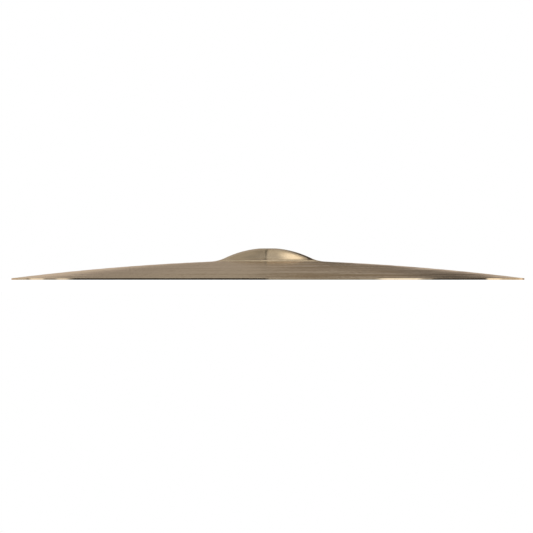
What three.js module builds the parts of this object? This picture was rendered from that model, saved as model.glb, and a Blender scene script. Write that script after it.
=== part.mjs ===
// Crash cymbal, 18 inch: one disc of cast and turned B20 bronze, open side down.
// The whole instrument is a single piece of metal: a domed bell in the middle, pierced by the
// mounting hole, a gently curved bow around it, and a plain cut rim.
// Frame: millimetres, +Z up, origin on the axis in the plane that the rim stands on.
import * as THREE from "three";

// ---- Driving dimensions -------------------------------------------------------------------
const CYMBAL_DIAMETER = 457.2; // 18 inches across the rim
const CYMBAL_HEIGHT = 28.05; // from the standing plane to the flat crown of the bell
const METAL_THICKNESS = 1.4; // measured square to the surface, the same all over
const RIM_STAND_OFF = 0.02; // rim's top corner above the standing plane, past the thickness

const BELL_DIAMETER = 88; // where the bell's dome would meet the bow without its fillet
const BELL_RISE = 11.45; // from that circle up to the crown
const BELL_FILLET_RADIUS = 34; // hollow blend between the bell and the bow, on the upper side
const BOW_ARC_RADIUS = 2100; // curvature of the bow from the bell out to the rim

const HOLE_DIAMETER = 12.7; // half-inch mounting hole
const CROWN_LAND_WIDTH = 1.25; // flat ring around the hole, above and below
const RIM_LAND_WIDTH = 0.8; // flat ring that the cymbal stands on
const RIM_BREAK = 0.25; // edge break on the rim's two outer corners

// ---- Resolution of the faceted solid ------------------------------------------------------
const FACETS_AROUND = 96;
const BELL_STEPS = 6;
const FILLET_STEPS = 4;
const BOW_STEPS = 8;

// ---- Profile geometry ---------------------------------------------------------------------
// Every point is (distance from the axis, height). The upper outline is a dome, a hollow
// fillet and a long flat arc, each tangent to the next. The lower outline has the same three
// centres, with the metal's thickness taken from or added to each radius.
const rimRadius = CYMBAL_DIAMETER / 2;
const holeRadius = HOLE_DIAMETER / 2;
const landRadius = holeRadius + CROWN_LAND_WIDTH;
const bellRadius = BELL_DIAMETER / 2;
const bellFoot = new THREE.Vector2(bellRadius, CYMBAL_HEIGHT - BELL_RISE);
const rimCorner = new THREE.Vector2(rimRadius, METAL_THICKNESS + RIM_STAND_OFF);

// Centre of the dome: on the axis, on the circle through the crown land's edge and the foot.
function domeCentreHeight() {
  const crown = new THREE.Vector2(landRadius, CYMBAL_HEIGHT);
  return (crown.lengthSq() - bellFoot.lengthSq()) / (2 * (crown.y - bellFoot.y));
}

// Lower of the two centres of a circle with this radius through two points.
function centreBelow(from, to, radius) {
  const chord = to.clone().sub(from);
  const middle = from.clone().add(to).multiplyScalar(0.5);
  const depth = Math.sqrt(radius ** 2 - chord.lengthSq() / 4);
  return middle.add(new THREE.Vector2(chord.y, -chord.x).setLength(depth));
}

// Centre of the fillet: a fillet radius away from both arcs, on their upper, hollow side.
function filletCentre(dome, domeRadius, bow) {
  const a = domeRadius + BELL_FILLET_RADIUS;
  const b = BOW_ARC_RADIUS + BELL_FILLET_RADIUS;
  const between = bow.clone().sub(dome);
  const distance = between.length();
  const along = (a ** 2 - b ** 2 + distance ** 2) / (2 * distance);
  const aside = Math.sqrt(a ** 2 - along ** 2);
  const unit = between.normalize();
  const side = new THREE.Vector2(-unit.y, unit.x);
  return dome.clone().addScaledVector(unit, along).addScaledVector(side, aside);
}

const domeCentre = new THREE.Vector2(0, domeCentreHeight());
const domeRadius = domeCentre.distanceTo(bellFoot);
const bowCentre = centreBelow(bellFoot, rimCorner, BOW_ARC_RADIUS);
const blendCentre = filletCentre(domeCentre, domeRadius, bowCentre);

const angleFrom = (centre, point) => Math.atan2(point.y - centre.y, point.x - centre.x);
const domeEnd = angleFrom(domeCentre, blendCentre);
const bowStart = angleFrom(bowCentre, blendCentre);

// Points on an arc from one angle to another, both ends included.
function arc(centre, radius, start, end, steps) {
  return Array.from({ length: steps + 1 }, (_, i) => {
    const angle = start + ((end - start) * i) / steps;
    return new THREE.Vector2(Math.cos(angle), Math.sin(angle)).multiplyScalar(radius).add(centre);
  });
}

// Angle at which a circle reaches this distance from the axis, on its upper side.
const angleAtRadius = (centre, radius, distance) => Math.acos((distance - centre.x) / radius);

// Outline of one side from the crown land to the end of the bow. depth is 0 for the upper
// side and the metal's thickness for the lower side.
function side(depth, bowEnd) {
  const dome = domeRadius - depth;
  const blend = BELL_FILLET_RADIUS + depth;
  const bow = BOW_ARC_RADIUS - depth;
  const bowLast = angleAtRadius(bowCentre, bow, bowEnd);
  const domeFirst = angleAtRadius(domeCentre, dome, landRadius);
  return [
    ...arc(domeCentre, dome, domeFirst, domeEnd, BELL_STEPS),
    ...arc(blendCentre, blend, domeEnd + Math.PI, bowStart + Math.PI, FILLET_STEPS).slice(1),
    ...arc(bowCentre, bow, bowStart, bowLast, BOW_STEPS).slice(1),
  ];
}

const rimLandStart = rimRadius - RIM_BREAK - RIM_LAND_WIDTH;
const upperSide = side(0, rimRadius - RIM_BREAK);
const lowerSide = side(METAL_THICKNESS, rimLandStart);
const rimTop = upperSide.at(-1).y - RIM_BREAK;

// The closed outline, from the hole's lower edge out along the underside, round the rim and
// back over the top. The land on the standing plane meets the underside in a short slope.
const outline = [
  new THREE.Vector2(holeRadius, lowerSide[0].y),
  ...lowerSide,
  new THREE.Vector2(rimLandStart, 0),
  new THREE.Vector2(rimRadius - RIM_BREAK, 0),
  new THREE.Vector2(rimRadius, RIM_BREAK),
  new THREE.Vector2(rimRadius, rimTop),
  ...upperSide.toReversed(),
  new THREE.Vector2(holeRadius, upperSide[0].y),
];

// ---- The cymbal ---------------------------------------------------------------------------
function makeCymbal() {
  const geometry = new THREE.LatheGeometry([...outline, outline[0]], FACETS_AROUND);
  const bronze = new THREE.MeshStandardMaterial({ color: 0xcdb183, metalness: 1, roughness: 0.34 });
  const cymbal = new THREE.Mesh(geometry, bronze);
  cymbal.name = "cymbal";
  cymbal.rotation.x = Math.PI / 2; // the lathe turns about +Y, and the cymbal stands along +Z
  return cymbal;
}

const crashCymbal = new THREE.Group();
crashCymbal.name = "crash_cymbal";
crashCymbal.add(makeCymbal());

export default crashCymbal;
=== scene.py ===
"""Crash cymbal, 18 inch: the visible bronze and the studio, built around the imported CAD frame.

The cymbal is one closed skin of revolution with the lathe's tonal grooves and the hammer's marks
cut into it, in a turned bronze that is worked out from the piece's own coordinates.
Lengths are in metres, +Z is up, and the rim stands on the plane z = 0.
"""
import math
from collections import namedtuple

import bpy
import numpy as np
from bpy.props import FloatProperty, FloatVectorProperty, IntProperty, PointerProperty
from bpy.types import Operator, Panel, PropertyGroup
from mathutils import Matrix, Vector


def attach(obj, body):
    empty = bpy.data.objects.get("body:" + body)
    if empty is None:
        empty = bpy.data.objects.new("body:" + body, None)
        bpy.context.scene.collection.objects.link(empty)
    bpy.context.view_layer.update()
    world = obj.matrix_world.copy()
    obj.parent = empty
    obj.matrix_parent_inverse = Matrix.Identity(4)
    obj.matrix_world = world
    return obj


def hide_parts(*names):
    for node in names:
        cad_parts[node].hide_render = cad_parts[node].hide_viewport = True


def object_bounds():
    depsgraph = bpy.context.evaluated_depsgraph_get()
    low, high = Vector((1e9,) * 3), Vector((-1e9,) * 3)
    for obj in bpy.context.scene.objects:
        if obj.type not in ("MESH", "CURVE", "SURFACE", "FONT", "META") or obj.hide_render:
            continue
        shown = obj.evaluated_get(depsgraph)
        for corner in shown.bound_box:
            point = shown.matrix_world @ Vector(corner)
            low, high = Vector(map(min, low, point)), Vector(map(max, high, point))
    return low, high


bl_info = {
    "name": "Crash Cymbal",
    "version": (1, 0, 0),
    "blender": (4, 5, 0),
    "location": "View3D > Sidebar > Cymbal",
    "description": "Builds a turned and hammered bronze crash cymbal and a plain studio for it",
    "category": "Add Mesh",
}

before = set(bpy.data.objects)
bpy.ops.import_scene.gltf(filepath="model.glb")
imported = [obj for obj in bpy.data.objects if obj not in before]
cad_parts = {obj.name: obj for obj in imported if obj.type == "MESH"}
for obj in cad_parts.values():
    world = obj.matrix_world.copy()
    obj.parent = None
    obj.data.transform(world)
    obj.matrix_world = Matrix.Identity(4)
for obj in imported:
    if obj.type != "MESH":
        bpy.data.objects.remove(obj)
CAD_LOW, CAD_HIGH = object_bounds()
NODE = "cymbal"
BODY = "root"
MILLIMETRE = 0.001


# ---- Sizes and finishes that a user may change -------------------------------------------------
def length(name, description, millimetres, **more):
    """A length property whose default is given in millimetres."""
    return FloatProperty(
        name=name,
        description=description,
        default=millimetres * MILLIMETRE,
        min=0.0,
        precision=6,
        subtype="DISTANCE",
        unit="LENGTH",
        **more,
    )


def share(name, description, default):
    """A property from 0 to 1."""
    return FloatProperty(
        name=name, description=description, default=default, min=0.0, max=1.0, subtype="FACTOR"
    )


def colour(name, description, default):
    """A colour property, in scene linear values."""
    return FloatVectorProperty(
        name=name, description=description, default=default, size=3, min=0.0, max=1.0, subtype="COLOR"
    )


class CymbalShape(PropertyGroup):
    """The disc's outline: the CAD part's driving sizes, but with its cut corners rounded."""

    rim_radius: length("Rim radius", "From the axis to the rim", CAD_HIGH.x / MILLIMETRE)
    crown_height: length("Height", "From the rim's plane to the crown", CAD_HIGH.z / MILLIMETRE)
    thickness: length("Metal", "Thickness square to the surface", 1.4)
    stand_off: length("Stand-off", "Rim's top corner past one thickness above its plane", 0.02)
    bell_radius: length("Bell radius", "Where the dome would meet the bow with no fillet", 44.0)
    bell_rise: length("Bell rise", "From that circle up to the crown", 11.45)
    fillet_radius: length("Bell fillet", "Hollow blend between bell and bow", 34.0)
    bow_radius: length("Bow curvature", "Radius of the bow's long arc", 2100.0)
    hole_radius: length("Hole radius", "Mounting hole through the crown", 6.35)
    crown_land: length("Crown land", "Width of the flat ring around the hole", 1.25)
    rim_land: length("Rim land", "Width of the flat ring that it stands on", 0.8)
    rim_round: length("Rim rounding", "Rounding of the rim's two outer corners", 0.08)
    hole_round: length("Hole deburring", "Rounding of the hole's two corners", 0.2)


class CymbalTurning(PropertyGroup):
    """What the hammer and the lathe leave on the surface."""

    groove_pitch: length("Groove pitch", "Between two tonal grooves on the upper bow", 2.8)
    groove_depth: length("Groove depth", "Of the tonal grooves on the upper bow", 0.022)
    bell_pitch: length("Bell pitch", "Between two tool marks on the bell", 2.0)
    bell_depth: length("Bell depth", "Of the tool marks on the bell", 0.008)
    under_pitch: length("Underside pitch", "Between two grooves on the underside", 5.2)
    under_depth: length("Underside depth", "Of the grooves on the underside", 0.05)
    pass_width: length("Tool pass", "Width of one pass of the lathe tool across the bow", 24.0)
    wave_depth: length("Wave depth", "Of the broad waves that rolling leaves in the upper bow", 0.10)
    wave_pitch: length("Wave pitch", "Between two of the closer waves", 11.3)
    broad_wave_pitch: length("Broad wave pitch", "Between two of the broader waves", 17.9)
    plain_margin: length("Plain margin", "Between the rim and the outermost groove", 1.2)
    mark_spacing: length("Mark spacing", "Between two hammer marks in a ring", 19.0)
    ring_spacing: length("Ring spacing", "Between two rings of hammer marks", 17.0)
    mark_radius: length("Mark radius", "Of one hammer mark", 7.5)
    mark_depth: length("Mark depth", "Of the deepest hammer mark", 0.035)
    mark_margin: length("Mark margin", "Between the rim and the outermost hammer mark", 3.0)
    seed: IntProperty(name="Seed", description="Of the hammer's small irregularities", default=18)
    segments: IntProperty(name="Segments", description="Steps around the disc", default=180, min=64)


class BronzeFinish(PropertyGroup):
    """Colour and gloss of the turned bronze, with the painted shade over its +X half."""

    bronze: colour("Bronze", "Clean metal, seen square on", (0.84, 0.69, 0.495))
    # The two tarnish colours below tone the real tarnish and also paint the shade over the +X half.
    toned_and_shaded: colour("Toned", "Fully tarnished metal, seen square on", (0.62, 0.46, 0.28))
    edge_tint: colour("Glancing tint", "Of light that glances off the metal", (1.0, 0.88, 0.71))
    toned_and_shaded_tint: colour("Toned glancing tint", "The same off tarnished metal", (0.60, 0.48, 0.34))
    bow_roughness: share("Bow roughness", "Of the lathed bow", 0.12)
    bell_roughness: share("Bell roughness", "Of the finer lathed bell", 0.13)
    rim_roughness: share("Rim roughness", "Of the cut rim and the hole's wall", 0.06)
    foot_roughness: share("Foot roughness", "Of the ring around the bell's foot", 0.60)
    anisotropy: share("Anisotropy", "How far the turning stretches reflections", 0.95)
    # Streaks and specks tone the +X half far more than the -X half. This paints shade over that half,
    # on top of the real marks.
    unshaded_side_streaks: share("Clean streaks", "Toning of the tool's passes on the clean side", 0.04)
    shaded_side_streaks: share("Toned streaks", "The same on the toned side", 1.0)
    unshaded_side_specks: share("Clean specks", "Toning of the specks on the clean side", 0.30)
    shaded_side_specks: share("Toned specks", "The same on the toned side", 0.65)
    groove_toning: share("Groove toning", "In the bottoms of the grooves", 0.333)
    patch_toning: share("Patch toning", "In broad patches", 0.08)
    bell_toning: share("Bell toning", "Share of all the toning that reaches the bell", 0.35)
    square_on: share("Square on", "Share of the toning that shows in light met square on", 0.35)


class CymbalStudio(PropertyGroup):
    """The studio's camera and floor."""

    lens: FloatProperty(
        name="Lens", description="Focal length in millimetres", default=200.0, min=1.0, unit="CAMERA"
    )
    picture_share: share("Picture share", "Share of the picture's width that the disc fills", 0.9627)
    shift_x: FloatProperty(name="Shift X", description="Camera shift to the side", default=-0.0027)
    shift_y: FloatProperty(name="Shift Y", description="Camera shift upwards", default=0.0250)
    eye_height: FloatProperty(
        name="Eye height",
        description="Height of the camera above the rim's plane",
        default=0.0,
        subtype="DISTANCE",
        unit="LENGTH",
    )
    floor_gap: length("Floor gap", "Between the rim's plane and the floor", 0.4)
    floor_width: length("Floor width", "Side of the square floor", 14000.0)


# ---- Node building -----------------------------------------------------------------------------
def node(tree, kind, inputs=None, **settings):
    """A new node with its settings made and each named input linked or set."""
    made = tree.nodes.new(kind)
    for name, value in settings.items():
        setattr(made, name, value)
    for key, value in (inputs or {}).items():
        if isinstance(value, bpy.types.NodeSocket):
            tree.links.new(value, made.inputs[key])
        else:
            made.inputs[key].default_value = value
    return made


def maths(tree, operation, *values):
    """The result of a Math node on up to three values or sockets."""
    return node(tree, "ShaderNodeMath", dict(enumerate(values)), operation=operation).outputs[0]


def vector_maths(tree, operation, *values, output="Vector"):
    """The result of a Vector Math node."""
    made = node(tree, "ShaderNodeVectorMath", dict(enumerate(values)), operation=operation)
    return made.outputs[output]


def ramp_up(tree, value, low, high):
    """0 below low, 1 above high, and a smooth step between them."""
    inputs = {"Value": value, "From Min": low, "From Max": high}
    made = node(tree, "ShaderNodeMapRange", inputs, interpolation_type="SMOOTHSTEP")
    return made.outputs["Result"]


def mixed(tree, factor, first, second):
    """Two numbers mixed by a factor."""
    inputs = {"Factor": factor, 2: first, 3: second}
    return node(tree, "ShaderNodeMix", inputs, data_type="FLOAT").outputs[0]


def mixed_colour(tree, factor, first, second):
    """Two colours mixed by a factor."""
    inputs = {"Factor": factor, 6: first, 7: second}
    return node(tree, "ShaderNodeMix", inputs, data_type="RGBA").outputs[2]


def opaque(rgb):
    """A colour with an alpha of 1."""
    return (*rgb, 1.0)


# ---- The disc's outline ------------------------------------------------------------------------
Arcs = namedtuple("Arcs", "dome dome_radius bow bow_radius blend blend_radius")
LAND_STEP = 0.3 * MILLIMETRE  # between two rows on the flat land that the disc stands on


def outline_arcs(shape):
    """Centres and radii of the outline's dome, bow and blend, each a circle in (radius, height).

    The dome's centre is on the axis, as far from the crown land's edge as from the bell's foot.
    The bow's is the lower centre of a circle of the bow's radius through the bell's foot and the
    rim's corner. The blend's is a blend radius outside both circles, above them.
    """
    crown = np.array((shape.hole_radius + shape.crown_land, shape.crown_height))
    foot = np.array((shape.bell_radius, shape.crown_height - shape.bell_rise))
    rim = np.array((shape.rim_radius, shape.thickness + shape.stand_off))
    dome = np.array((0.0, (crown @ crown - foot @ foot) / (2 * (crown[1] - foot[1]))))
    dome_radius = np.linalg.norm(foot - dome)
    chord = rim - foot
    span = np.linalg.norm(chord)
    below = np.array((chord[1], -chord[0])) / span
    bow = (foot + rim) / 2 + below * math.sqrt(shape.bow_radius**2 - span**2 / 4)
    near, far = dome_radius + shape.fillet_radius, shape.bow_radius + shape.fillet_radius
    apart = np.linalg.norm(bow - dome)
    unit = (bow - dome) / apart
    along = (near**2 - far**2 + apart**2) / (2 * apart)
    aside = math.sqrt(near**2 - along**2)
    blend = dome + unit * along + np.array((-unit[1], unit[0])) * aside
    return Arcs(dome, dome_radius, bow, shape.bow_radius, blend, shape.fillet_radius)


def height_at(radius, arcs, shape, depth):
    """Height of the upper side (depth 0) or the underside (depth one thickness) at each radius.

    Up to the crown land it is flat. Beyond, it is the dome's circle, then the blend's lower half,
    then the bow's circle, each with the depth taken off or, on the hollow blend, added.
    """
    to_blend = arcs.blend - arcs.dome
    to_bow = arcs.blend - arcs.bow
    dome = arcs.dome_radius - depth
    blend = arcs.blend_radius + depth
    bow = arcs.bow_radius - depth
    dome_end = arcs.dome[0] + dome * to_blend[0] / np.linalg.norm(to_blend)
    bow_start = arcs.bow[0] + bow * to_bow[0] / np.linalg.norm(to_bow)
    land_end = shape.hole_radius + shape.crown_land
    r = np.maximum(radius, land_end)
    on_dome = arcs.dome[1] + np.sqrt(np.maximum(dome**2 - (r - arcs.dome[0]) ** 2, 0))
    on_blend = arcs.blend[1] - np.sqrt(np.maximum(blend**2 - (r - arcs.blend[0]) ** 2, 0))
    on_bow = arcs.bow[1] + np.sqrt(np.maximum(bow**2 - (r - arcs.bow[0]) ** 2, 0))
    return np.where(r < dome_end, on_dome, np.where(r < bow_start, on_blend, on_bow))


def grooves_start(shape):
    """Distance from the axis where the bell's tool marks give way to the bow's grooves."""
    return shape.bell_radius + shape.fillet_radius / 4


def stations(start, end, spacing):
    """Evenly spaced distances from the axis, both ends included."""
    return np.linspace(start, end, max(2, round(abs(end - start) / spacing) + 1))


def corner(radius, height, size, start, end, steps=5):
    """A rounded corner: a circle's arc about (radius, height), from one angle to another."""
    angle = np.radians(np.linspace(start, end, steps))
    return np.column_stack((radius + size * np.cos(angle), height + size * np.sin(angle)))


def disc_outline(shape, turning):
    """The closed outline as rows of (radius, height, side, edge).

    side is 1 on the upper side, -1 on the underside and 0 on the rim and the hole's wall, and
    edge is 1 on those cut edges and a half on the land that the disc stands on. The rows run out
    over the underside and the land, up the rim, in over the upper side and down the hole's wall.
    Four rows go to each groove's pitch, or two to a tool mark's on the bell's underside, and two
    next to the rim's corners keep its wall straight.
    """
    arcs = outline_arcs(shape)
    rim, hole = shape.rim_radius, shape.hole_radius
    rounding, deburring = shape.rim_round, shape.hole_round
    foot = grooves_start(shape)
    land_start = rim - rounding - shape.rim_land
    fine = turning.bell_pitch / 4
    under = np.concatenate((
        stations(hole + deburring, foot, 2 * fine),
        stations(foot, land_start, turning.under_pitch / 4)[1:],
    ))
    upper = np.concatenate((
        stations(rim - rounding, foot, turning.groove_pitch / 4)[:-1],
        stations(foot, hole + deburring, fine),
    ))
    under_height = height_at(under, arcs, shape, shape.thickness)
    upper_height = height_at(upper, arcs, shape, 0.0)
    low_corner = corner(rim - rounding, rounding, rounding, -90, 0)
    high_corner = corner(rim - rounding, upper_height[0] - rounding, rounding, 0, 90)
    inset = rounding / 2
    land = stations(land_start + inset, low_corner[0, 0], LAND_STEP)[:-1]
    land = np.column_stack((land, np.zeros(len(land))))
    wall = np.array(((rim, low_corner[-1, 1] + inset), (rim, high_corner[0, 1] - inset)))
    hole_top = corner(hole + deburring, upper_height[-1] - deburring, deburring, 90, 180)
    hole_low = corner(hole + deburring, under_height[0] + deburring, deburring, 180, 270)
    parts = (
        (np.column_stack((under, under_height)), -1.0, 0.0),
        (land, 0.0, 0.5),
        (low_corner, 0.0, 1.0),
        (wall, 0.0, 1.0),
        (high_corner[:-1], 0.0, 1.0),
        (np.column_stack((upper, upper_height)), 1.0, 0.0),
        (hole_top[1:], 0.0, 1.0),
        (hole_low[:-1], 0.0, 1.0),
    )
    return np.concatenate([
        np.column_stack((rows, np.full(len(rows), side), np.full(len(rows), edge)))
        for rows, side, edge in parts
    ])


# ---- What the tools leave ----------------------------------------------------------------------
PASS_SWELL = 0.38  # how far the grooves' depth swings over a pass, either way
MARK_WANDER = 0.3  # of the ring spacing, in or out
SHALLOWEST_MARK = 0.35  # of the deepest mark's depth
MARK_SPREAD = 1.6  # mark radius over the distance at which a dish is 1/e as deep
UNDERSIDE_MARKS = 0.5  # how far the hammer's marks come through to the underside


def raised_cosine(distance, pitch):
    """0 at whole pitches and 1 halfway between them."""
    return 0.5 - 0.5 * np.cos(2 * np.pi * distance / pitch)


def groove_depths(radius, side, shape, turning):
    """Depth of the lathe's grooves at each radius: one raised cosine per pitch.

    On the upper bow the depth swells and fades over each pass of the tool, by a second cosine,
    and the mean of two broad raised cosines is added for the waves. The grooves set in over one
    pitch outside the bell's foot, inside which are the bell's finer tool marks, and they fade out
    over one pitch before the rim's plain margin. The tool marks fade out over one of their own
    pitches before the crown land.
    """
    from_foot = radius - grooves_start(shape)
    swell = 1 - PASS_SWELL + PASS_SWELL * np.cos(2 * np.pi * from_foot / turning.pass_width)
    tonal = turning.groove_depth * swell * raised_cosine(from_foot, turning.groove_pitch)
    close_waves = raised_cosine(from_foot, turning.wave_pitch)
    broad_waves = raised_cosine(from_foot, turning.broad_wave_pitch)
    upper = tonal + turning.wave_depth * (close_waves + broad_waves) / 2
    under = turning.under_depth * raised_cosine(from_foot, turning.under_pitch)
    bell = turning.bell_depth * raised_cosine(from_foot, turning.bell_pitch)
    on_bow = np.clip(from_foot / turning.groove_pitch, 0, 1)
    to_margin = shape.rim_radius - turning.plain_margin - radius
    off_rim = np.clip(to_margin / turning.groove_pitch, 0, 1)
    off_hole = np.clip((radius - shape.hole_radius - shape.crown_land) / turning.bell_pitch, 0, 1)
    bow = np.where(side > 0, upper, under) * on_bow * off_rim
    return (bow + bell * (1 - on_bow) * off_hole) * (side != 0)


def hammer_depths(radius, angle, shape, turning):
    """Depth of the hammer's marks: rings of dishes, each a bell curve of the distance to its middle.

    A ring's marks are evenly spaced around it from a random start, and then moved in or out and
    made shallower by random amounts, all from one seed. Rings run from past the bell's foot to a
    mark's radius from the rim.
    """
    random = np.random.default_rng(turning.seed)
    start = shape.bell_radius + shape.fillet_radius / 2 + turning.mark_radius
    end = shape.rim_radius - turning.mark_radius
    total = np.zeros(np.broadcast(radius, angle).shape)
    for ring in np.arange(start, end, turning.ring_spacing):
        count = round(2 * np.pi * ring / turning.mark_spacing)
        turn = angle / (2 * np.pi) * count + random.uniform()
        mark = np.floor(turn).astype(int) % count
        wander = random.uniform(-MARK_WANDER, MARK_WANDER, count) * turning.ring_spacing
        depth = random.uniform(SHALLOWEST_MARK, 1.0, count) * turning.mark_depth
        along = (turn - np.floor(turn) - 0.5) * turning.mark_spacing
        across = radius - ring - wander[mark]
        width = turning.mark_radius / MARK_SPREAD
        total += depth[mark] * np.exp(-(along**2 + across**2) / width**2)
    return total


def disc_surface(shape, turning):
    """The disc's points as a grid of outline row by step around the axis, with its attributes.

    A point is (radius cos, radius sin, height) of its angle. Its height is the outline's, moved
    into the metal by the grooves and the hammer marks: down on the upper side, up on the underside.
    The attribute cut_depth is the grooves' depth as a share of the deepest groove in a wave, and
    cut_edge is the outline's edge. Last comes each row's share of the way along the outline.
    """
    outline = disc_outline(shape, turning)
    radius, height, side, edge = (column[:, None] for column in outline.T)
    angle = np.linspace(0, 2 * np.pi, turning.segments, endpoint=False)[None, :]
    groove = groove_depths(radius, side, shape, turning)
    to_margin = shape.rim_radius - turning.mark_margin - radius
    off_rim = np.clip(to_margin / turning.mark_radius, 0, 1)
    come_through = np.where(side < 0, UNDERSIDE_MARKS, 1.0)
    hammer = hammer_depths(radius, angle, shape, turning) * off_rim * come_through
    z = height - side * (groove + hammer)
    x = radius * np.cos(angle)
    y = radius * np.sin(angle)
    points = np.stack((x, y, np.broadcast_to(z, x.shape)), axis=-1)
    cut = np.broadcast_to(groove / (turning.groove_depth + turning.wave_depth), x.shape)
    rows = np.hypot(*np.diff(outline[:, :2], axis=0).T)
    along = np.concatenate(((0.0,), np.cumsum(rows)))
    return points, {"cut_depth": cut, "cut_edge": np.broadcast_to(edge, x.shape)}, along / along[-1]


def wrapped_mesh(name, points, attributes, along):
    """A closed mesh from a grid that wraps both ways, with a UV map of (turn, outline length).

    Each point makes a quad with its neighbours in the next step and the next row.
    """
    rows, steps = points.shape[:2]
    index = np.arange(rows * steps).reshape(rows, steps)
    next_row, next_step = np.roll(index, -1, 0), np.roll(index, -1, 1)
    quads = np.stack((index, next_step, np.roll(next_row, -1, 1), next_row), axis=-1).reshape(-1, 4)
    mesh = bpy.data.meshes.new(name)
    mesh.vertices.add(rows * steps)
    mesh.vertices.foreach_set("co", points.astype(np.float32).ravel())
    mesh.loops.add(quads.size)
    mesh.loops.foreach_set("vertex_index", quads.astype(np.int32).ravel())
    mesh.polygons.add(len(quads))
    mesh.polygons.foreach_set("loop_start", np.arange(0, quads.size, 4, dtype=np.int32))
    mesh.update(calc_edges=True)
    mesh.polygons.foreach_set("use_smooth", np.ones(len(quads), bool))
    for label, values in attributes.items():
        layer = mesh.attributes.new(label, "FLOAT", "POINT")
        layer.data.foreach_set("value", values.astype(np.float32).ravel())
    turn = np.linspace(0, 1, steps + 1)
    u = np.stack(np.broadcast_arrays(turn[:-1], turn[1:], turn[1:], turn[:-1]), axis=-1)
    v = np.stack((along, along, np.append(along[1:], 1.0), np.append(along[1:], 1.0)), axis=-1)
    uv = np.stack(np.broadcast_arrays(u[None, :, :], v[:, None, :]), axis=-1)
    mesh.uv_layers.new(name="turning").data.foreach_set("uv", uv.astype(np.float32).ravel())
    if mesh.validate():
        raise RuntimeError(f"{name}: the mesh had faults")
    return mesh


# ---- Materials ---------------------------------------------------------------------------------
# Noise drawn out around the axis: lines to the metre across the turning, patterns around it.
Lines = namedtuple("Lines", "per_metre around detail")
HAIRLINES = Lines(1400.0, 3.0, 2.0)  # the finest turning lines
PASSES = Lines(90.0, 1.5, 2.0)  # passes of the tool, some brighter and some duller
PATCHES = Lines(24.0, 2.2, 3.0)  # broad patches
NOISE_GRAIN = 0.6  # how strong each finer octave of a pattern is
STREAK_RAMP, SPECK_RAMP, PATCH_RAMP = (0.42, 0.58), (0.48, 0.64), (0.40, 0.70)  # noise to toning
HAIRLINE_HEIGHT = 0.04 * MILLIMETRE
HAIRLINE_STRENGTH = 0.35
SPECKLE_SCALE = 320.0  # cells to the metre in the specks' noise
PAINTED_SHADE_SIDE = (-0.03, 0.06)  # x from which streaks and specks paint shade over the +X half, and where that painted shade is strongest
BELL_EDGE = (-0.002, 0.003)  # where the bell's finish ends, from the start of the bow's grooves
FOOT_RING = (-0.009, -0.006, -0.0025, -0.0005)  # where the ring sets in and fades out, as above
PLAY_UNSHADED_SIDE, PLAY_SHADED_SIDE, PLAY_BELL = 0.10, 0.26, 0.08  # how far the passes vary the roughness


def turned_noise(tree, radius, around, lines):
    """Noise at (around x, around y, radius), each scaled: quick outwards and slow around."""
    outwards = node(tree, "ShaderNodeCombineXYZ", {"Z": radius}).outputs[0]
    across = vector_maths(tree, "MULTIPLY", outwards, (lines.per_metre,) * 3)
    along = vector_maths(tree, "MULTIPLY", around, (lines.around,) * 3)
    place = vector_maths(tree, "ADD", across, along)
    inputs = {"Vector": place, "Scale": 1.0, "Detail": lines.detail, "Roughness": NOISE_GRAIN}
    return node(tree, "ShaderNodeTexNoise", inputs, noise_dimensions="3D").outputs["Fac"]


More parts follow.
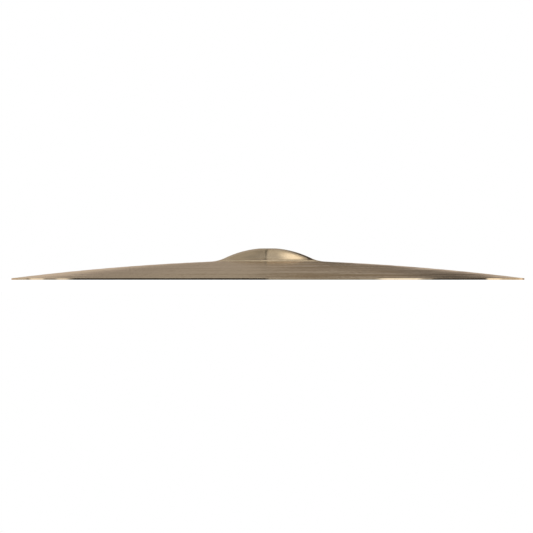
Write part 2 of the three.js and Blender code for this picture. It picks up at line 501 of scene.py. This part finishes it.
def bronze_material(finish, shape):
    """Lathed B20 bronze: a metal whose gloss is stretched across concentric turning lines.

    Tarnish and painted shade are the sum of streaks along the tool's passes, groove bottoms,
    broad patches and fine specks. The streaks and specks are far stronger towards +X, which
    paints shade over that half, and all of it is weaker on the bell. It tones the colour of
    glancing light fully and that of light met square on a little. A rougher ring runs round the bell's
    foot.
    """
    material = bpy.data.materials.new("turned_bronze")
    material.use_nodes = True
    tree = material.node_tree
    tree.nodes.clear()
    place = node(tree, "ShaderNodeTexCoord").outputs["Object"]
    flat = vector_maths(tree, "MULTIPLY", place, (1.0, 1.0, 0.0))
    radius = vector_maths(tree, "LENGTH", flat, output="Value")
    around = vector_maths(tree, "NORMALIZE", flat)
    hairlines = turned_noise(tree, radius, around, HAIRLINES)
    passes = turned_noise(tree, radius, around, PASSES)
    patches = turned_noise(tree, radius, around, PATCHES)
    cut = node(tree, "ShaderNodeAttribute", attribute_name="cut_depth").outputs["Fac"]
    edge = node(tree, "ShaderNodeAttribute", attribute_name="cut_edge").outputs["Fac"]
    speckle_inputs = {"Vector": place, "Scale": SPECKLE_SCALE, "Detail": 2.0}
    speckle = node(tree, "ShaderNodeTexNoise", speckle_inputs).outputs["Fac"]
    # Painted shade: towards +X the streaks and specks darken the colour far more, shading that half.
    painted_shade_side = ramp_up(tree, node(tree, "ShaderNodeSeparateXYZ", {0: place}).outputs[0], *PAINTED_SHADE_SIDE)
    from_foot = maths(tree, "SUBTRACT", radius, grooves_start(shape))
    off_bell = ramp_up(tree, from_foot, *BELL_EDGE)
    ring_start = ramp_up(tree, from_foot, *FOOT_RING[:2])
    ring_end = ramp_up(tree, from_foot, *FOOT_RING[2:])
    ring = maths(tree, "SUBTRACT", ring_start, ring_end)

    streak_strength = mixed(tree, painted_shade_side, finish.unshaded_side_streaks, finish.shaded_side_streaks)
    speck_strength = mixed(tree, painted_shade_side, finish.unshaded_side_specks, finish.shaded_side_specks)
    tarnish_and_shade = maths(tree, "MULTIPLY", cut, finish.groove_toning)
    for amount, strength in (
        (ramp_up(tree, passes, *STREAK_RAMP), streak_strength),
        (ramp_up(tree, speckle, *SPECK_RAMP), speck_strength),
        (ramp_up(tree, patches, *PATCH_RAMP), finish.patch_toning),
    ):
        tarnish_and_shade = maths(tree, "MULTIPLY_ADD", amount, strength, tarnish_and_shade)
    tarnish_and_shade = maths(tree, "MULTIPLY", tarnish_and_shade, mixed(tree, off_bell, finish.bell_toning, 1.0))
    faint = maths(tree, "MULTIPLY", tarnish_and_shade, finish.square_on)
    bronze = mixed_colour(tree, faint, opaque(finish.bronze), opaque(finish.toned_and_shaded))
    glance = mixed_colour(tree, tarnish_and_shade, opaque(finish.edge_tint), opaque(finish.toned_and_shaded_tint))

    uneven = maths(tree, "SUBTRACT", passes, 0.5)
    play = mixed(tree, painted_shade_side, PLAY_UNSHADED_SIDE, PLAY_SHADED_SIDE)
    bow_gloss = maths(tree, "MULTIPLY_ADD", uneven, play, finish.bow_roughness)
    bell_gloss = maths(tree, "MULTIPLY_ADD", uneven, PLAY_BELL, finish.bell_roughness)
    gloss = mixed(tree, off_bell, bell_gloss, bow_gloss)
    gloss = mixed(tree, ring, gloss, finish.foot_roughness)
    gloss = mixed(tree, edge, gloss, finish.rim_roughness)

    bump_inputs = {"Height": hairlines, "Strength": HAIRLINE_STRENGTH, "Distance": HAIRLINE_HEIGHT}
    surface = node(tree, "ShaderNodeBsdfPrincipled", {
        "Base Color": bronze,
        "Metallic": 1.0,
        "Roughness": gloss,
        "Specular Tint": glance,
        "Anisotropic": finish.anisotropy,
        "Anisotropic Rotation": 0.25,
        "Normal": node(tree, "ShaderNodeBump", bump_inputs).outputs[0],
        "Tangent": node(tree, "ShaderNodeTangent", direction_type="RADIAL", axis="Z").outputs[0],
    })
    node(tree, "ShaderNodeOutputMaterial", {"Surface": surface.outputs[0]})
    return material


def floor_material():
    """A light table: matt white that also glows, so that shadows on it stay pale."""
    material = bpy.data.materials.new("light_table")
    material.use_nodes = True
    surface = material.node_tree.nodes["Principled BSDF"]
    surface.inputs["Base Color"].default_value = (0.9, 0.9, 0.9, 1.0)
    surface.inputs["Roughness"].default_value = 1.0
    surface.inputs["Specular IOR Level"].default_value = 0.0
    surface.inputs["Emission Color"].default_value = WHITE
    surface.inputs["Emission Strength"].default_value = FLOOR_GLOW
    return material


# ---- The studio --------------------------------------------------------------------------------
# What the metal mirrors: soft-edged cards around the disc, each laid over the ones before it.
# Directions are seen from the disc, in degrees: azimuth 0 is behind it and 90 to its right.
# A slanted card's top and bottom edges rise by that much for each degree to the right. A leaning
# card's sides move that much to the right for each degree up, about the middle of its height.
Card = namedtuple("Card", "left right low high softness brightness slant lean", defaults=(0.0, 0.0))
ROOM_BRIGHTNESS = 0.34
SOFTBOX_BEARINGS = range(45, 316, 45)  # of a ring of softboxes, with none straight behind
CARDS = (
    Card(-180, 180, 55, 120, 16, 0.55),  # ceiling
    *(Card(bearing - 8, bearing + 8, 24, 44, 8, 1.50) for bearing in SOFTBOX_BEARINGS),
    Card(-24, 24, 62, 92, 6, 1.75),  # strip softbox overhead
    Card(-24, 0, -60, 24, 1, 0.40),  # left back wall
    Card(-24, -2.5, -60, 10.5, 4, 0.25),  # its darker foot
    Card(-13, -0.8, -60, 2.9, 0.8, 0.60, -1.05),  # and a pale wedge of cloth over that
    Card(-24, -1.0, 22, 60, 4, 0.29, 0, -0.04),  # its darker upper part
    Card(-24, -0.8, 25, 39, 5, 0.36, 0, -0.04),  # a paler band across that
    Card(-4.5, -0.8, 25, 36, 4, 0.25, 0, -0.04),  # and the shade at the band's right-hand end
    Card(0, 24, -60, 24, 1, 0.36),  # right back wall
    Card(1.2, 24, -60, 10.5, 3, 0.235),  # its darker foot
    Card(1.2, 13, -60, 3.4, 2.5, 0.64, 0.5),  # and a pale wedge of cloth over that
    Card(4.4, 13, 9.5, 18.5, 1.5, 0.005),  # black flag on the right wall
    Card(0.5, 1.25, 0.3, 6, 0.7, 0.02, 0, 0.30),  # dark slit, lower and to the left
    Card(-0.9, 30, 22, 60, 2, 0.45, 0, -0.04),  # softbox above the flag and the slit
    Card(0, 20, 25, 40, 5, 0.50),  # its brighter middle
    Card(7.5, 20, 28, 46, 7, 1.34),  # and its lamp
    Card(-1.4, -0.7, 22, 60, 0.9, 0.05, 0, -0.04),  # gap between the back wall's two halves
    Card(-181, -84, -30, 4, 5, 0.012),  # low black flag in front of the left half
    Card(-44, -12, -14, 3, 4, 0.58),  # low strip behind the left half
    Card(-81, -73, -14, 5, 4, 0.78),  # narrow low strip to the left
    Card(-62, -48, -14, 5, 5, 0.95),  # brighter low strip to the left
    Card(138, 180, -30, 3.5, 3, 0.29),  # low grey card in front of the right half
    Card(109.5, 130, -30, 5, 6, 1.10),  # low strip to the right, towards the front
    Card(67, 103, -30, 4, 4, 0.05),  # dark gap between the right-hand strips
    Card(18, 66, -14, 3, 5, 0.90),  # low strip behind the right half
    Card(54, 66, -14, 8, 5, 1.40),  # its brighter right-hand end
)
WARM_CARD = Card(-25, 25, -60, 7, 22, 1.0)  # warm cloth hung over the foot of the back walls
WARM_CLOTH = (1.0, 0.78, 0.56)
WHITE = (1.0, 1.0, 1.0, 1.0)
FLOOR_GLOW = 0.60


def studio_world():
    """The cards as light on the metal, and plain white behind it for the camera."""
    world = bpy.data.worlds.new("studio")
    world.use_nodes = True
    tree = world.node_tree
    tree.nodes.clear()
    direction = node(tree, "ShaderNodeTexCoord").outputs["Generated"]
    x, y, z = node(tree, "ShaderNodeSeparateXYZ", {0: direction}).outputs
    azimuth = maths(tree, "DEGREES", maths(tree, "ARCTAN2", x, y))
    elevation = maths(tree, "DEGREES", maths(tree, "ARCSINE", z))

    def cover(card):
        """1 inside a card, 0 outside it and a smooth step over its soft edges."""
        middle, level = (card.left + card.right) / 2, (card.low + card.high) / 2
        straightened = maths(tree, "MULTIPLY_ADD", azimuth, -card.slant, elevation)
        raised = maths(tree, "SUBTRACT", straightened, level)
        leaning = maths(tree, "MULTIPLY_ADD", raised, -card.lean, azimuth)
        turned = maths(tree, "WRAP", maths(tree, "SUBTRACT", leaning, middle), -180.0, 180.0)
        inside = 1.0
        for offset, half in ((turned, card.right - middle), (raised, card.high - level)):
            depth = maths(tree, "SUBTRACT", half, maths(tree, "ABSOLUTE", offset))
            step = ramp_up(tree, depth, -card.softness / 2, card.softness / 2)
            inside = maths(tree, "MULTIPLY", inside, step)
        return inside

    light = ROOM_BRIGHTNESS
    for card in CARDS:
        light = mixed(tree, cover(card), light, card.brightness)
    tint = mixed_colour(tree, cover(WARM_CARD), WHITE, opaque(WARM_CLOTH))
    seen = node(tree, "ShaderNodeLightPath").outputs["Is Camera Ray"]
    shown = mixed_colour(tree, seen, tint, WHITE)
    inputs = {"Color": shown, "Strength": mixed(tree, seen, light, 1.0)}
    background = node(tree, "ShaderNodeBackground", inputs)
    node(tree, "ShaderNodeOutputWorld", {"Surface": background.outputs[0]})
    return world


def floor_mesh(width, height):
    """A square at one height, centred on the axis."""
    half = width / 2
    corners = np.array(((-1, -1), (1, -1), (1, 1), (-1, 1))) * half
    mesh = bpy.data.meshes.new("floor")
    mesh.from_pydata(np.column_stack((corners, np.full(4, height))).tolist(), [], [(0, 1, 2, 3)])
    return mesh


def studio_camera(studio, rim_radius):
    """A long lens level with the rim, far enough for the disc's tips to span its share.

    The tips are where lines of sight graze the rim's circle, so the distance is the rim's radius
    over the sine of the angle between the axis of view and such a line.
    """
    camera = bpy.data.cameras.new("camera")
    camera.lens = studio.lens
    camera.shift_x = studio.shift_x
    camera.shift_y = studio.shift_y
    reach = studio.picture_share * camera.sensor_width / 2
    distance = rim_radius / math.sin(math.atan2(reach, camera.lens))
    seen_from = bpy.data.objects.new("camera", camera)
    seen_from.location = (0.0, -distance, studio.eye_height)
    seen_from.rotation_euler = (math.pi / 2, 0.0, 0.0)
    return seen_from


# ---- Operators ---------------------------------------------------------------------------------
class CYMBAL_OT_bronze(Operator):
    """Build the turned and hammered bronze disc"""

    bl_idname = "cymbal.bronze"
    bl_label = "Bronze Disc"

    def execute(self, context):
        shape, turning = context.scene.cymbal_shape, context.scene.cymbal_turning
        mesh = wrapped_mesh("cymbal_bronze", *disc_surface(shape, turning))
        mesh.materials.append(bronze_material(context.scene.cymbal_finish, shape))
        disc = bpy.data.objects.new("cymbal_bronze", mesh)
        context.scene.collection.objects.link(disc)
        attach(disc, BODY)
        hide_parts(NODE)
        return {"FINISHED"}


class CYMBAL_OT_stage(Operator):
    """Build the floor, the light and the camera"""

    bl_idname = "cymbal.stage"
    bl_label = "Studio"

    def execute(self, context):
        scene, studio = context.scene, context.scene.cymbal_studio
        mesh = floor_mesh(studio.floor_width, -studio.floor_gap)
        mesh.materials.append(floor_material())
        floor = bpy.data.objects.new("floor", mesh)
        scene.collection.objects.link(floor)
        floor.visible_glossy = False
        scene.world = studio_world()
        scene.camera = studio_camera(studio, scene.cymbal_shape.rim_radius)
        scene.collection.objects.link(scene.camera)
        scene.view_settings.view_transform = "Standard"
        return {"FINISHED"}


class VIEW3D_PT_crash_cymbal(Panel):
    """Sizes, finishes and the two build steps"""

    bl_label = "Crash Cymbal"
    bl_space_type = "VIEW_3D"
    bl_region_type = "UI"
    bl_category = "Cymbal"

    def draw(self, context):
        for group in GROUPS:
            box = self.layout.box()
            box.label(text=group.bl_rna.name)
            settings = getattr(context.scene, GROUPS[group])
            for name in group.__annotations__:
                box.prop(settings, name)
        for step in STEPS:
            self.layout.operator(step.bl_idname)


GROUPS = {
    CymbalShape: "cymbal_shape",
    CymbalTurning: "cymbal_turning",
    BronzeFinish: "cymbal_finish",
    CymbalStudio: "cymbal_studio",
}
STEPS = (CYMBAL_OT_bronze, CYMBAL_OT_stage)
CLASSES = (*GROUPS, *STEPS, VIEW3D_PT_crash_cymbal)


def register():
    """Registers the classes and hangs each group of settings on the scene."""
    for item in CLASSES:
        bpy.utils.register_class(item)
    for group, name in GROUPS.items():
        setattr(bpy.types.Scene, name, PointerProperty(type=group))


def unregister():
    """Takes away what register added."""
    for name in GROUPS.values():
        delattr(bpy.types.Scene, name)
    for item in reversed(CLASSES):
        bpy.utils.unregister_class(item)


def main():
    """Builds the piece and the stage."""
    register()
    bpy.ops.cymbal.bronze()
    bpy.ops.cymbal.stage()


if __name__ == "__main__":
    main()
